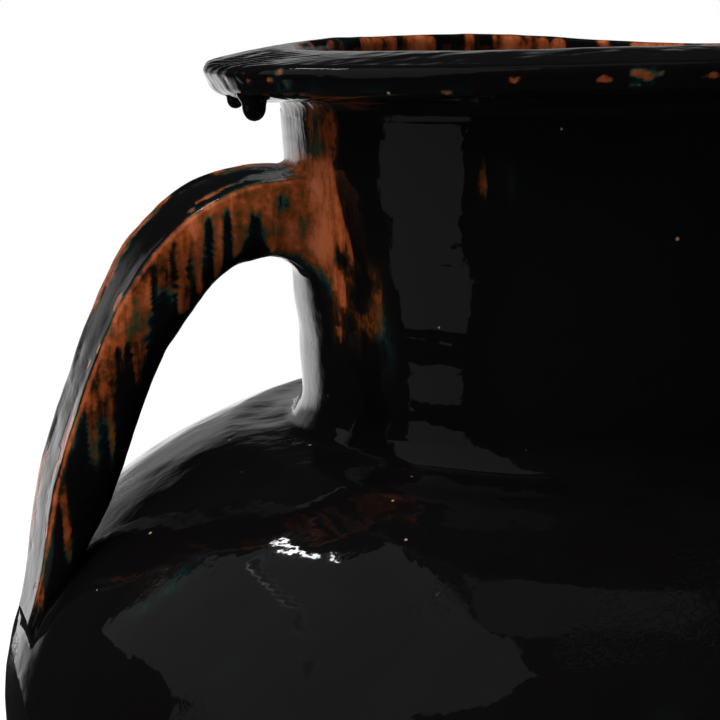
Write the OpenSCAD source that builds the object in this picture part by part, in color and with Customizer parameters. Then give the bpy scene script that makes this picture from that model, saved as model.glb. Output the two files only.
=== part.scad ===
// Large glazed clay jar with a flared neck and two strap handles.
// It is thrown in sections that are scored, bevelled and luted together with slip.
// Units are millimetres. The origin is the centre of the underside of the foot,
// +Z points up, and the two handles stand on the X axis.

/* [Body] */
// Greatest outer radius of the body
body_r = 213; // [175:1:260]
// Height of the belly, where the body is widest and its two halves meet
belly_h = 180; // [150:1:220]
// Height of the shoulder dome above the belly, were it to close over the axis
dome_h = 111; // [92:1:135]
// Outer radius of the foot at the ground
foot_r = 98; // [80:1:118]
// Thickness of the body wall
body_wall = 8; // [6:0.5:10]
// Thickness of the floor slab at its middle
floor_t = 15; // [12:0.5:20]

/* [Neck and lip] */
// Length of the neck between the shoulder seam and the rim seam
neck_h = 98; // [80:1:120]
// Outer radius of the neck at the shoulder
neck_low_r = 104.5; // [86:0.5:118]
// Outer radius of the neck under the lip
neck_top_r = 109.5; // [92:0.5:130]
// Thickness of the neck wall
neck_wall = 6; // [5:0.5:8]
// Width of the almost level collar where the shoulder runs into the neck
collar_w = 28.5; // [20:0.5:34]
// Height of the curve that turns from the collar up into the neck
neck_fillet = 18; // [12:0.5:22]
// How far the lip stands out beyond the neck
lip_overhang = 25.5; // [18:0.5:32]
// Thickness of the rolled lip
lip_t = 11; // [8:0.5:14]
// Height of the rim section, from the rim seam to the crest
rim_h = 22; // [20:0.5:28]

/* [Handles] */
// Width of the strap across its face, at the neck
strap_w = 42; // [34:1:48]
// Thickness of the strap at the neck
strap_t = 29.5; // [24:0.5:34]
// Thickness of the strap above the shoulder
strap_low_t = 20; // [16:0.5:24]
// Depth of the thumb groove along the outer face
thumb_groove = 3; // [0:0.1:4]
// Depth of the handle's upper root below the rim crest
root_drop = 57; // [50:1:70]
// How far inside the belly's radius the handle comes down on the shoulder
landing_inset = 9.5; // [8:0.5:20]
// How far the handle bows out from the neck before it turns down
bow_out = 63; // [52:1:72]
// How far the handle rises before it turns down
bow_rise = 14.5; // [8:0.5:22]
// How far the handle leans back in towards the neck above its landing
fall_in = 30; // [24:1:40]
// Height over which the handle falls straight to its landing
fall_h = 74; // [62:1:90]

/* [Luting and glaze] */
// Rise of the bevelled seams, from the outer face of a wall to the inner one
bevel = 4; // [2:0.5:5]
// How far the upper clay wads spread around the handle roots
upper_flare = 8; // [5:0.5:11]
// How far the lower clay wads spread around the handle landings
lower_flare = 3; // [2:0.5:5]
// Thickness of the clay coil that is pressed over the inside of the belly seam
belly_coil_t = 5; // [3:0.5:8]
// Width of the clay coil in the corner between floor and wall
foot_coil_w = 12; // [8:0.5:16]
// Radius of the larger glaze drip
drip_r = 4.4; // [3:0.1:6]
// Length of the larger glaze drip below the lip
drip_l = 8; // [5:0.5:12]

/* [Hidden] */
$fn = 192;

black_glaze = [0.05, 0.045, 0.045];
rust_glaze = [0.62, 0.30, 0.14];
bare_clay = [0.70, 0.42, 0.28];
drip_black = [0.02, 0.02, 0.025];

// Fullness of the shoulder and of the lower body: 2 is an ellipse, more is fuller
dome_power = 2.11;
bowl_power = 1.9;

// Steps along the long curves of the walls, along small curves, and along the
// stretches of lining that the inside coils cover
wall_steps = 30;
arc_steps = 6;
coil_steps = 3;

// Radius where the shoulder starts to level out, and the fall of the shoulder there
collar_r = neck_low_r + collar_w;
collar_slope = (dome_z(collar_r - 1) - dome_z(collar_r + 1)) / 2;
collar_dip = 2;

// Heights of the seams at the outer faces of the walls
foot_seam_z = floor_t - bevel;
shoulder_seam_z = dome_z(collar_r) - collar_dip + neck_fillet;
rim_seam_z = shoulder_seam_z + neck_h;
rim_z = rim_seam_z + rim_h;

// Radii of the bore and of the lip
neck_low_ri = neck_low_r - neck_wall;
neck_top_ri = neck_top_r - neck_wall;
crest_r = neck_top_r - neck_wall / 2;
lip_r = neck_top_r + lip_overhang;

// The top of the lip falls a little towards its nose
lip_fall = 2.6;
lip_under_z = rim_z - lip_fall - lip_t;

// Depth of the bowl if it closed over the axis, for it to reach the foot's radius
bowl_h = belly_h / pow(1 - pow(foot_r / body_r, bowl_power), 1 / bowl_power);

// ---- shape of the walls; wall moves a face inwards by a wall's thickness ----

// Height of the shoulder at radius r, and its radius at height z
function dome_z(r, wall = 0) = belly_h + (dome_h - wall)
    * pow(1 - pow(r / (body_r - wall), dome_power), 1 / dome_power);
function dome_r(z, wall = 0) = (body_r - wall)
    * pow(1 - pow((z - belly_h) / (dome_h - wall), dome_power), 1 / dome_power);

// Radius of the lower body at height z
function bowl_r(z, wall = 0) = (body_r - wall)
    * pow(1 - pow((belly_h - z) / (bowl_h - wall), bowl_power), 1 / bowl_power);

// Outer radius of the neck at height z
function neck_r(z) = neck_low_r + (neck_top_r - neck_low_r) * (z - shoulder_seam_z) / neck_h;

// The point a share k of the way up the shoulder, from the belly to radius r_end
function dome_point(k, r_end, wall) =
    let (half = dome_power / 2, angle = k * acos(pow(r_end / (body_r - wall), half)))
    [(body_r - wall) * pow(cos(angle), 1 / half), belly_h + (dome_h - wall) * pow(sin(angle), 1 / half)];

// ---- small helpers for outlines ----

function reversed(list) = [for (i = [len(list) - 1 : -1 : 0]) list[i]];
function levels(low, high, steps) = [for (i = [0 : steps]) low + (high - low) * i / steps];

// A curve from a to c pulled towards b, without its first point
function bend(a, b, c) = [
    for (i = [1 : arc_steps]) let (k = i / arc_steps)
        (1 - k) * (1 - k) * a + 2 * k * (1 - k) * b + k * k * c
];

// A curve from a to d that leaves towards b and arrives from c
function bezier(a, b, c, d, k) = pow(1 - k, 3) * a + 3 * k * pow(1 - k, 2) * b
    + 3 * k * k * (1 - k) * c + pow(k, 3) * d;

// Eases from 0 to 1 as k goes from 0 to 1
function fade(k) = let (c = max(0, min(1, k))) c * c * (3 - 2 * c);

// ---- outlines of the walls, as points of radius and height ----

function bowl_outline() = [for (z = levels(foot_seam_z, belly_h, wall_steps)) [bowl_r(z), z]];
function bowl_lining() = [for (z = levels(floor_t, belly_h, wall_steps)) [bowl_r(z, body_wall), z]];

// The shoulder runs up the dome, levels out and turns up into the neck
function shoulder_outline() =
    let (start = [collar_r, dome_z(collar_r)], reach = collar_w / 3)
    concat(
        [for (i = [0 : wall_steps]) dome_point(i / wall_steps, collar_r, 0)],
        [for (i = [1 : 2 * arc_steps]) bezier(
            start,
            start + [-reach, reach * collar_slope],
            [neck_low_r, shoulder_seam_z - neck_fillet],
            [neck_low_r, shoulder_seam_z],
            i / (2 * arc_steps)
        )]
    );

// Its inner face starts above the bevel of the belly seam and ends in the neck's bore
function shoulder_lining() =
    let (
        start = belly_h + bevel,
        turn = [collar_r - 2 * body_wall, dome_z(collar_r - 2 * body_wall, body_wall)],
        seam_end = [neck_low_ri, shoulder_seam_z + bevel]
    )
    concat(
        [for (z = levels(start, start + bevel * coil_steps, coil_steps)) [dome_r(z, body_wall), z]],
        [for (i = [8 : wall_steps]) dome_point(i / wall_steps, turn.x, body_wall)],
        bend(turn, [neck_low_ri, turn.y], seam_end)
    );

// ---- the thrown sections ----

module turned(outline) {
    rotate_extrude() polygon(outline);
}

module foot_slab() {
    edge = 2;
    color(bare_clay) turned(concat(
        [[0, 0], [foot_r - edge, 0]],
        [for (z = levels(edge, foot_seam_z, 3)) [bowl_r(z), z]],
        [[bowl_r(floor_t, body_wall), floor_t], [0, floor_t]]
    ));
}

module lower_body() {
    color(black_glaze) turned(concat(
        bowl_outline(),
        [shoulder_lining()[0]],
        reversed(bowl_lining())
    ));
}

module upper_body() {
    color(black_glaze) turned(concat(shoulder_outline(), reversed(shoulder_lining())));
}

// The neck keeps a few throwing rings just above the shoulder
module neck() {
    rings = 4;
    ring_pitch = 5;
    ring_depth = 0.7;
    ring_levels = [for (i = [0 : rings - 1]) shoulder_seam_z + ring_pitch * (i + 0.5)];
    quarter = ring_pitch / 4;
    color(black_glaze) turned(concat(
        [[neck_low_ri, shoulder_seam_z + bevel], [neck_low_r, shoulder_seam_z]],
        [for (z = ring_levels) each [
            [neck_r(z - quarter), z - quarter],
            [neck_r(z) - ring_depth, z],
            [neck_r(z + quarter), z + quarter]
        ]],
        [[neck_top_r, rim_seam_z], [neck_top_ri, rim_seam_z + bevel]]
    ));
}

// The lip has a rolled nose, and its underside sweeps back into the neck
module rim_lip() {
    roll = 0.8 * lip_t;
    crest_round = 4;
    seam = [neck_top_r, rim_seam_z];
    crest = [crest_r, rim_z];
    nose = [lip_r, lip_under_z + lip_t / 2];
    top_edge = [lip_r - roll, rim_z - lip_fall];
    color(black_glaze) turned(concat(
        [seam],
        bend(seam, [neck_top_r, lip_under_z], [neck_top_r + roll, lip_under_z]),
        [[lip_r - roll, lip_under_z]],
        bend([lip_r - roll, lip_under_z], [lip_r, lip_under_z], nose),
        bend(nose, [lip_r, top_edge.y], top_edge),
        [crest],
        bend(crest, [neck_top_ri, rim_z], [neck_top_ri, rim_z - crest_round]),
        [[neck_top_ri, rim_seam_z + bevel]]
    ));
}

// ---- clay coils pressed over the seams inside ----

module foot_coil() {
    wall_side = [for (i = [0 : coil_steps]) bowl_lining()[i]];
    start = wall_side[0] - [foot_coil_w, 0];
    hollow = wall_side[0] + [-2, 4];
    color(bare_clay) turned(concat(wall_side, bend(wall_side[coil_steps], hollow, start)));
}

module belly_coil() {
    below = [for (i = [wall_steps - coil_steps : wall_steps]) bowl_lining()[i]];
    above = [for (i = [0 : coil_steps]) shoulder_lining()[i]];
    crown = [body_r - body_wall - 2 * belly_coil_t, belly_h + bevel / 2];
    color(bare_clay) turned(concat(below, above, bend(above[coil_steps], crown, below[0])));
}

// ---- the pulled handles ----

// Middle line of the handle on +X: inside the neck wall at 0, on the shoulder at 1
root = [neck_r(rim_z - root_drop) - neck_wall, rim_z - root_drop];
bow = root + [bow_out, bow_rise];
landing = [body_r - landing_inset, dome_z(body_r - landing_inset)];
fall = landing + [-fall_in, fall_h];

// Before its start the line runs straight back into the neck; past its end it
// drops straight down, which buries it in the widening shoulder
function strap_line(t) =
    t < 0 ? root + 3 * t * (bow - root)
    : t > 1 ? landing - [0, 3 * (t - 1) * fall_h]
    : bezier(root, bow, fall, landing, t);

// Direction square to the line, on the outer side of the strap
function strap_out(t) =
    let (run = strap_line(t + 0.01) - strap_line(t - 0.01))
    [-run.y, run.x] / norm(run);

// Half the strap's width and thickness; its end is pinched into a flat tongue
strap_narrowing = 6;
function half_w(t) = (strap_w - strap_narrowing * max(0, t)) / 2 * (1 - 0.3 * fade((t - 0.9) / 0.16));
function half_t(t) = (strap_t + (strap_low_t - strap_t) * max(0, t)) / 2 * (1 - 0.72 * fade((t - 0.78) / 0.24));

// One ring of the strap's skin; spread widens it, more on its lower side
section_steps = 24;
// 1 gives an ellipse, less gives a fuller section with squarer corners
section_power = 0.66;
function skin_ring(t, spread) =
    let (middle = strap_line(t), out = strap_out(t), w = half_w(t) + spread, h = half_t(t) + spread)
    [for (i = [0 : section_steps - 1])
        let (
            a = 360 * i / section_steps,
            across = w * sign(cos(a)) * pow(abs(cos(a)), section_power),
            round_h = h * sign(sin(a)) * pow(abs(sin(a)), section_power),
            groove = thumb_groove * half_t(t) / half_t(0) * exp(-pow(2.2 * across / w, 2)),
            up = sin(a) > 0 ? round_h - groove : round_h * (1 + 0.04 * spread)
        )
        [middle.x + up * out.x, across, middle.y + up * out.y]
    ];

// Places of the rings along the line, from inside the neck to inside the shoulder
strap_rings = 30;
line_start = -0.14;
line_end = 1.06;
function ring_place(i) = line_start + (line_end - line_start) * i / strap_rings;

// Rings that the wads cover at the neck and at the shoulder
upper_wad_rings = [0 : 7];
lower_wad_rings = [strap_rings - 6 : strap_rings];
function upper_spread(i) = 0.8 + upper_flare * pow(1 - i / 7, 1.6) * 1.9;
function lower_spread(i) = 0.8 + lower_flare * fade((i - strap_rings + 6) / 4);

// Two triangles between each pair of neighbours in rows a and b of a skin
function skin_faces(rows, n, flip) = [
    for (row = [0 : rows - 2], i = [0 : n - 1])
        let (a = row * n + i, b = row * n + (i + 1) % n)
        each (flip ? [[a, a + n, b], [b, a + n, b + n]] : [[a, b, a + n], [b, b + n, a + n]])
];

// A closed solid through rings of equal length
module skinned(rings) {
    n = len(rings[0]);
    last = (len(rings) - 1) * n;
    polyhedron(
        points = [for (ring = rings) each ring],
        faces = concat(
            skin_faces(len(rings), n, false),
            [[for (i = [n - 1 : -1 : 0]) i]],
            [[for (i = [0 : n - 1]) last + i]]
        )
    );
}

// A sleeve between an outer and an inner set of rings
module sleeve(outer, inner) {
    n = len(outer[0]);
    rows = len(outer);
    shift = rows * n;
    last = shift - n;
    inner_faces = [for (face = skin_faces(rows, n, true)) [for (i = face) i + shift]];
    first_end = [for (i = [0 : n - 1]) let (j = (i + 1) % n)
        each [[i, shift + i, j], [j, shift + i, shift + j]]];
    last_end = [for (i = [0 : n - 1]) let (j = (i + 1) % n)
        each [[last + i, last + j, last + shift + i], [last + j, last + shift + j, last + shift + i]]];
    polyhedron(
        points = [for (ring = concat(outer, inner)) each ring],
        faces = concat(skin_faces(rows, n, false), inner_faces, first_end, last_end)
    );
}

// Cuts what is luted on back to the outer faces of the jar
module trimmed() {
    difference() {
        children();
        turned(concat(
            [[0, belly_h - neck_fillet], [body_r - 2, belly_h - neck_fillet]],
            shoulder_outline(),
            [[neck_top_r, rim_seam_z], [0, rim_seam_z]]
        ));
    }
}

module strap_handle() {
    color(rust_glaze) trimmed()
        skinned([for (i = [0 : strap_rings]) skin_ring(ring_place(i), 0)]);
}

module upper_wad() {
    color(rust_glaze) trimmed() sleeve(
        [for (i = upper_wad_rings) skin_ring(ring_place(i), upper_spread(i))],
        [for (i = upper_wad_rings) skin_ring(ring_place(i), 0)]
    );
}

module lower_wad() {
    color(black_glaze) trimmed() sleeve(
        [for (i = lower_wad_rings) skin_ring(ring_place(i), lower_spread(i))],
        [for (i = lower_wad_rings) skin_ring(ring_place(i), 0)]
    );
}

// The left handle is the right one turned half way round the jar
module on_left() {
    rotate([0, 0, 180]) children();
}

module right_handle() { strap_handle(); }
module right_upper_wad() { upper_wad(); }
module right_lower_wad() { lower_wad(); }
module left_handle() { on_left() strap_handle(); }
module left_upper_wad() { on_left() upper_wad(); }
module left_lower_wad() { on_left() lower_wad(); }

// ---- glaze that ran and froze under the lip, above the left handle ----

module drip(angle, radius, length) {
    buried = 3;
    shoulder = [radius, radius - length];
    rotate([0, 0, angle]) translate([lip_r - 1.7 * drip_r, 0, lip_under_z]) turned(concat(
        [[0, buried], [radius, buried], shoulder],
        bend(shoulder, [radius, -length], [0, -length])
    ));
}

module glaze_drips() {
    color(drip_black) difference() {
        union() {
            drip(188, drip_r, drip_l);
            drip(179, 0.8 * drip_r, 0.6 * drip_l);
        }
        rim_lip();
    }
}

foot_slab();
lower_body();
upper_body();
neck();
rim_lip();
foot_coil();
belly_coil();
left_handle();
right_handle();
left_upper_wad();
left_lower_wad();
right_upper_wad();
right_lower_wad();
glaze_drips();
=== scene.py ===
# %% [markdown]
# # A large two-handled jar in black glaze
# This lesson rebuilds a wheel-thrown storage jar. It was thrown in sections, the
# sections were luted together with slip, two pulled strap handles were added, and a
# thick iron glaze was poured over it. The glaze is black where it is thick, teal and
# amber where it thins, and rust orange where it ran off a ridge.
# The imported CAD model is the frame: every piece here goes where its node says.

# %% Load the frame
from math import cos, pi, radians, sin

import bpy
import numpy as np
from mathutils import Matrix, Vector


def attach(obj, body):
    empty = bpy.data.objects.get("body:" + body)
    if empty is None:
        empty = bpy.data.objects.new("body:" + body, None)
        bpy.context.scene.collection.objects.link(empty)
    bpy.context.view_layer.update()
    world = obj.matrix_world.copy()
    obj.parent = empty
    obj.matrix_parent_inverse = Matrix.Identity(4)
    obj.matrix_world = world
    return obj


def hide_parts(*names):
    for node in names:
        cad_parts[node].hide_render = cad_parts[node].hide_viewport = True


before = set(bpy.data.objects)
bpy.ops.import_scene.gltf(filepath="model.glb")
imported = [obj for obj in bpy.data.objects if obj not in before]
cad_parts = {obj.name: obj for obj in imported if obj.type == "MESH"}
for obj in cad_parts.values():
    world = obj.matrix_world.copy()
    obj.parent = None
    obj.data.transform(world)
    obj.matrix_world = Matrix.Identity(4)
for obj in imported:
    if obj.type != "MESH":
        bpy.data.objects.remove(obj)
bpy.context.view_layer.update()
print("nodes in the frame:", len(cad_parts))

# %% [markdown]
# ## The measures of the jar
# A potter works from a few numbers: how wide the belly, the neck and the lip are, and
# how high each seam lies. They are in millimetres, because a hand thinks in them, and
# each mesh is scaled to metres only when it is made.

# %% Name the measures
MM = 0.001
BODY_R, BELLY_H, DOME_H, FOOT_R = 213.0, 180.0, 111.0, 98.0
WALL, NECK_WALL, FLOOR_T, BEVEL = 8.0, 6.0, 15.0, 4.0
DOME_POWER, BOWL_POWER = 2.11, 1.9
NECK_LOW_R, NECK_TOP_R, NECK_H = 104.5, 109.5, 98.0
COLLAR_R, FILLET = 133.0, 18.0
LIP_R, LIP_T, RIM_H = 135.0, 11.0, 22.0
LIP_SAG = 2.6  # the lip's outer edge lies this far below the crest
ROOT_DROP, LANDING_INSET = 57.0, 9.5  # root below the crest, landing inside the belly's radius
GLAZE_LINE = 22.5  # the glaze stops about this far above the ground
BOWL_H = BELLY_H / (1 - (FOOT_R / BODY_R) ** BOWL_POWER) ** (1 / BOWL_POWER)


def dome_z(r, wall=0.0):
    """Height of the shoulder at radius r."""
    share = np.clip(np.asarray(r, float) / (BODY_R - wall), 0, 1)
    return BELLY_H + (DOME_H - wall) * (1 - share**DOME_POWER) ** (1 / DOME_POWER)


def bowl_r(z, wall=0.0):
    """Radius of the lower body at height z."""
    share = np.clip((BELLY_H - np.asarray(z, float)) / (BOWL_H - wall), 0, 1)
    return (BODY_R - wall) * (1 - share**BOWL_POWER) ** (1 / BOWL_POWER)


COLLAR_Z = float(dome_z(COLLAR_R))
SHOULDER_SEAM = COLLAR_Z - 2 + FILLET
RIM_SEAM = SHOULDER_SEAM + NECK_H
RIM_Z = RIM_SEAM + RIM_H
print("seams at", round(SHOULDER_SEAM, 1), round(RIM_SEAM, 1), "crest at", round(RIM_Z, 1))

# %% [markdown]
# ## Unevenness made by hands
# Nothing thrown is a true surface of revolution. A repeatable noise gives the low
# lumps of the clay and the ripples of the glaze. It is written with numpy rather than
# taken point by point from a library, because the jar has several hundred thousand
# points. The seed makes each run the same.

# %% Write the noise
def corner_value(ix, iy, iz, seed):
    """A fixed random value from -1 to 1 for each corner of a grid."""
    h = (ix * 73856093) ^ (iy * 19349663) ^ (iz * 83492791) ^ (seed * 668265263)
    h = ((h & 0xFFFFFFFF) ^ ((h & 0xFFFFFFFF) >> 13)) * 1274126177 & 0xFFFFFFFF
    return ((h ^ (h >> 16)) & 0xFFFF) / 32767.5 - 1.0


def noise(points, size, seed):
    """Smooth noise from -1 to 1 with features of about that size in millimetres."""
    q = points / np.asarray(size, float) + 0.37 * seed
    cell = np.floor(q).astype(np.int64)
    f = q - cell
    f = f * f * f * (f * (f * 6 - 15) + 10)
    total = np.zeros(points.shape[:-1])
    for dx in (0, 1):
        for dy in (0, 1):
            for dz in (0, 1):
                weight = (
                    (f[..., 0] if dx else 1 - f[..., 0])
                    * (f[..., 1] if dy else 1 - f[..., 1])
                    * (f[..., 2] if dz else 1 - f[..., 2])
                )
                total += weight * corner_value(
                    cell[..., 0] + dx, cell[..., 1] + dy, cell[..., 2] + dz, seed
                )
    return total


def fade(k, low=0.0, high=1.0):
    """Eases from 0 at low to 1 at high."""
    c = np.clip((np.asarray(k, float) - low) / (high - low), 0, 1)
    return c * c * (3 - 2 * c)


def hump(k, middle, width):
    """A soft bump of height 1 around middle."""
    return np.exp(-(((np.asarray(k, float) - middle) / width) ** 2))


def turn_gap(angle, middle):
    """Signed difference of two angles in degrees, from -180 to 180."""
    return (np.asarray(angle, float) - middle + 180) % 360 - 180


print("noise at one point", round(float(noise(np.array([1.0, 2.0, 3.0]), 9, 3)), 3))

# %% [markdown]
# ## One line for the whole wall
# A thrown wall is a line turned round the axis. The line runs up the outside from the
# foot, over the lip, and down the bore to the floor. Every section of the jar takes
# its share of this one line, so neighbours meet exactly at their bevelled seams.

# %% Draw the line of the wall
def spaced(points, count):
    """The same curve with count points at even steps."""
    points = np.asarray(points, float)
    run = np.concatenate([[0], np.cumsum(np.hypot(*np.diff(points, axis=0).T))])
    at = np.linspace(0, run[-1], count)
    return np.column_stack([np.interp(at, run, points[:, i]) for i in (0, 1)])


def bend(a, b, c, steps=14):
    """A curve from a to c pulled towards b."""
    k = np.linspace(0, 1, steps)[:, None]
    a, b, c = (np.asarray(p, float) for p in (a, b, c))
    return (1 - k) ** 2 * a + 2 * k * (1 - k) * b + k * k * c


def bezier(a, b, c, d, k):
    """A cubic curve from a to d."""
    k = np.asarray(k, float)[..., None]
    a, b, c, d = (np.asarray(p, float) for p in (a, b, c, d))
    return (1 - k) ** 3 * a + 3 * k * (1 - k) ** 2 * b + 3 * k * k * (1 - k) * c + k**3 * d


def dome_line(r_end, wall, z_start=BELLY_H):
    """The shoulder from the belly up to radius r_end."""
    half = DOME_POWER / 2
    angle = np.linspace(0, np.arccos((r_end / (BODY_R - wall)) ** half), 160)
    line = np.column_stack([
        (BODY_R - wall) * np.cos(angle) ** (1 / half),
        BELLY_H + (DOME_H - wall) * np.sin(angle) ** (1 / half),
    ])
    start = np.interp(z_start, line[:, 1], line[:, 0])
    return np.vstack([[start, z_start], line[line[:, 1] > z_start + 0.01]])


slope = float(dome_z(COLLAR_R - 1) - dome_z(COLLAR_R + 1)) / 2
reach = (COLLAR_R - NECK_LOW_R) / 3
collar = bezier(
    [COLLAR_R, COLLAR_Z], [COLLAR_R - reach, COLLAR_Z + reach * slope],
    [NECK_LOW_R, SHOULDER_SEAM - FILLET], [NECK_LOW_R, SHOULDER_SEAM],
    np.linspace(0, 1, 60),
)
bore_low, bore_top = NECK_LOW_R - NECK_WALL, NECK_TOP_R - NECK_WALL
under_z = RIM_Z - LIP_SAG - LIP_T
roll = 0.8 * LIP_T
crest = [NECK_TOP_R - NECK_WALL / 2, RIM_Z]
lip_line = np.vstack([
    bend([NECK_TOP_R, RIM_SEAM], [NECK_TOP_R, under_z], [NECK_TOP_R + roll, under_z]),
    bend([LIP_R - roll, under_z], [LIP_R - 2.6, under_z], [LIP_R - 1.6, under_z + 3.4]),
    bend([LIP_R - 1.6, under_z + 3.4], [LIP_R, RIM_Z - 7.5], [LIP_R, RIM_Z - 6.4])[1:],
    bend([LIP_R, RIM_Z - 6.4], [LIP_R - 0.3, RIM_Z - 3.7], [LIP_R - 4, RIM_Z - 3.2])[1:],
    bend([LIP_R - 4, RIM_Z - 3.2], [crest[0] + 6, RIM_Z - 0.2], crest)[1:],
    bend(crest, [bore_top, RIM_Z], [bore_top, RIM_Z - 4])[1:],
    [[bore_top, RIM_SEAM + BEVEL]],
])
inner_turn = [COLLAR_R - 2 * WALL, float(dome_z(COLLAR_R - 2 * WALL, WALL))]
shoulder_lining = np.vstack([
    dome_line(inner_turn[0], WALL, BELLY_H + BEVEL),
    bend(inner_turn, [bore_low, inner_turn[1]], [bore_low, SHOULDER_SEAM + BEVEL])[1:],
])
bowl_levels = np.linspace(FLOOR_T - BEVEL, BELLY_H, 120)
lining_levels = np.linspace(FLOOR_T, BELLY_H, 120)
SECTIONS = {
    "lower_out": (np.column_stack([bowl_r(bowl_levels), bowl_levels]), 92),
    "upper_out": (np.vstack([dome_line(COLLAR_R, 0), collar[1:]]), 108),
    "neck_out": (np.array([[NECK_LOW_R, SHOULDER_SEAM], [NECK_TOP_R, RIM_SEAM]]), 84),
    "lip": (lip_line, 112),
    "neck_in": (np.array([[bore_top, RIM_SEAM + BEVEL], [bore_low, SHOULDER_SEAM + BEVEL]]), 46),
    "upper_in": (shoulder_lining[::-1], 30),
    "lower_in": (np.vstack([
        [[float(dome_line(inner_turn[0], WALL, BELLY_H + BEVEL)[0][0]), BELLY_H + BEVEL]],
        np.column_stack([bowl_r(lining_levels, WALL), lining_levels])[::-1],
    ]), 30),
}
rows, line = {}, []
for title, (curve, count) in SECTIONS.items():
    rows[title] = (len(line), len(line) + count)
    line.extend(spaced(curve, count).tolist())
line = np.array(line)
print("the line of the wall has", len(line), "points")

# %% [markdown]
# ## The turned surface with its relief
# The line is turned through 720 steps. Each point then moves a little along the
# surface's own direction: low lumps in the clay, the spiral of the throwing fingers on
# the neck, a crease where the neck was luted on, and runs of glaze. The rim also warps:
# it dries unevenly, so its crest rises and falls by two or three millimetres.

# %% Turn and warp the wall
STEPS = 720
BELOW_MOUTH = 300.0
RIM_WARP = {43: -2.8, 99: 2.4, 130: 1.9, 157: 0.4, 180: -0.6, 206: -0.4, 267: 0.5, 330: -0.6}


def rim_lift(angle):
    """How far the crest lies above or below its mean height, in millimetres."""
    at = sorted(RIM_WARP)
    a = np.asarray(angle, float) % 360
    knots = np.array([at[-1] - 360, *at, at[0] + 360])
    lifts = np.array([RIM_WARP[at[-1]], *[RIM_WARP[k] for k in at], RIM_WARP[at[0]]])
    i = np.clip(np.searchsorted(knots, a) - 1, 0, len(knots) - 2)
    k = fade((a - knots[i]) / (knots[i + 1] - knots[i]))
    return lifts[i] * (1 - k) + lifts[i + 1] * k


def line_directions(line):
    """Unit vectors square to the line, pointing out of the clay."""
    run = np.gradient(line, axis=0)
    run[1:-1] = line[2:] - line[:-2]
    run /= np.hypot(*run.T)[:, None]
    return np.column_stack([run[:, 1], -run[:, 0]])


def glaze_edge(points):
    """1 where the body is glazed, 0 below the line where the glaze stops above the foot."""
    runs = 4.5 * noise(points * [1, 1, 0.01], 26, 51) + 2.2 * noise(points * [1, 1, 0.01], 9, 52)
    return fade(points[..., 2], GLAZE_LINE - 1 + runs, GLAZE_LINE + 1 + runs)


def glaze_seam(points):
    """A ragged furrow where two flows of glaze met on the shoulder."""
    z, r = points[..., 2], np.hypot(points[..., 0], points[..., 1])
    angle = np.degrees(np.arctan2(points[..., 1], points[..., 0])) % 360
    way = np.interp(r, [168, 177, 192], [210, 219, 223])
    apart = turn_gap(angle, way + 0.8 * noise(points, 5, 16)) * r * pi / 180
    apart = apart + 0.7 * noise(points, 2.2, 17)
    width = np.interp(r, [168, 176, 191], [3.2, 2.4, 1.3])
    return hump(apart, 0, width) * fade(r, 162, 168) * (1 - fade(r, 190, 196)) * (z < 262)


def wall_relief(points, outer, lip):
    """How far the surface stands out from the true line, in millimetres."""
    z = points[..., 2]
    r = np.hypot(points[..., 0], points[..., 1])
    lumps = 0.75 * noise(points, 62, 1) + 0.26 * noise(points, 24, 2) + 0.17 * noise(points, 12, 3)
    on_neck = fade(z, 268, 284) * (1 - fade(z, 372, 384))
    pitch = 6.4 + 1.1 * noise(points * [0.05, 0.05, 1], 30, 4)
    wave = np.sin(2 * pi * z / pitch + 2.2 * noise(points, 48, 5))
    finger = on_neck * wave * (0.035 + 0.03 * noise(points * [0.2, 0.2, 1], 16, 6))
    low_rings = 0.03 * on_neck * (1 - fade(z, 288, 312)) * np.sin(2 * pi * z / 5.0) \
        * fade(noise(points, 26, 15), -0.2, 0.5)
    level = z + 2.5 * noise(points, 22, 15)
    swell = on_neck * 0.42 * (hump(level, 318, 6) - hump(level, 303, 6))
    turn = np.degrees(np.arctan2(points[..., 1], points[..., 0])) % 360
    furrow = -0.3 * glaze_seam(points)
    crease = -0.9 * hump(z, 273.5 + 1.2 * noise(points, 30, 7), 1.7) * hump(r, 109, 6)
    body_rings = 0.04 * (1 - on_neck) * np.sin(2 * pi * z / 9.0 + 2 * noise(points, 70, 8))
    ripple = 0.022 * noise(points * [1, 1, 0.2], 4.2, 9)
    skin = 0.3 * (glaze_edge(points) - 1)
    relief = lumps + finger + low_rings + swell + furrow + crease + body_rings + ripple + skin
    lip_relief = 0.42 * lumps + 0.16 * noise(points, 12, 10) + 0.07 * noise(points, 5, 11)
    fold = np.sin(2 * pi * (2.3 * turn + 2.4 * (r - LIP_R)) / 11.0 + 3.2 * noise(points, 15, 13))
    lip_relief += 0.34 * fold * hump(turn, 177, 17) * fade(r, 108, 118) \
        * (0.5 + 0.8 * noise(points, 9, 14))
    inside = 0.55 * lumps + 0.3 * np.sin(2 * pi * z / 8.0 + noise(points, 40, 12))
    relief = np.where(lip, lip_relief, np.where(outer, relief, inside))
    return relief - 0.7 * fade(r, 190, 206) * outer


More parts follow.
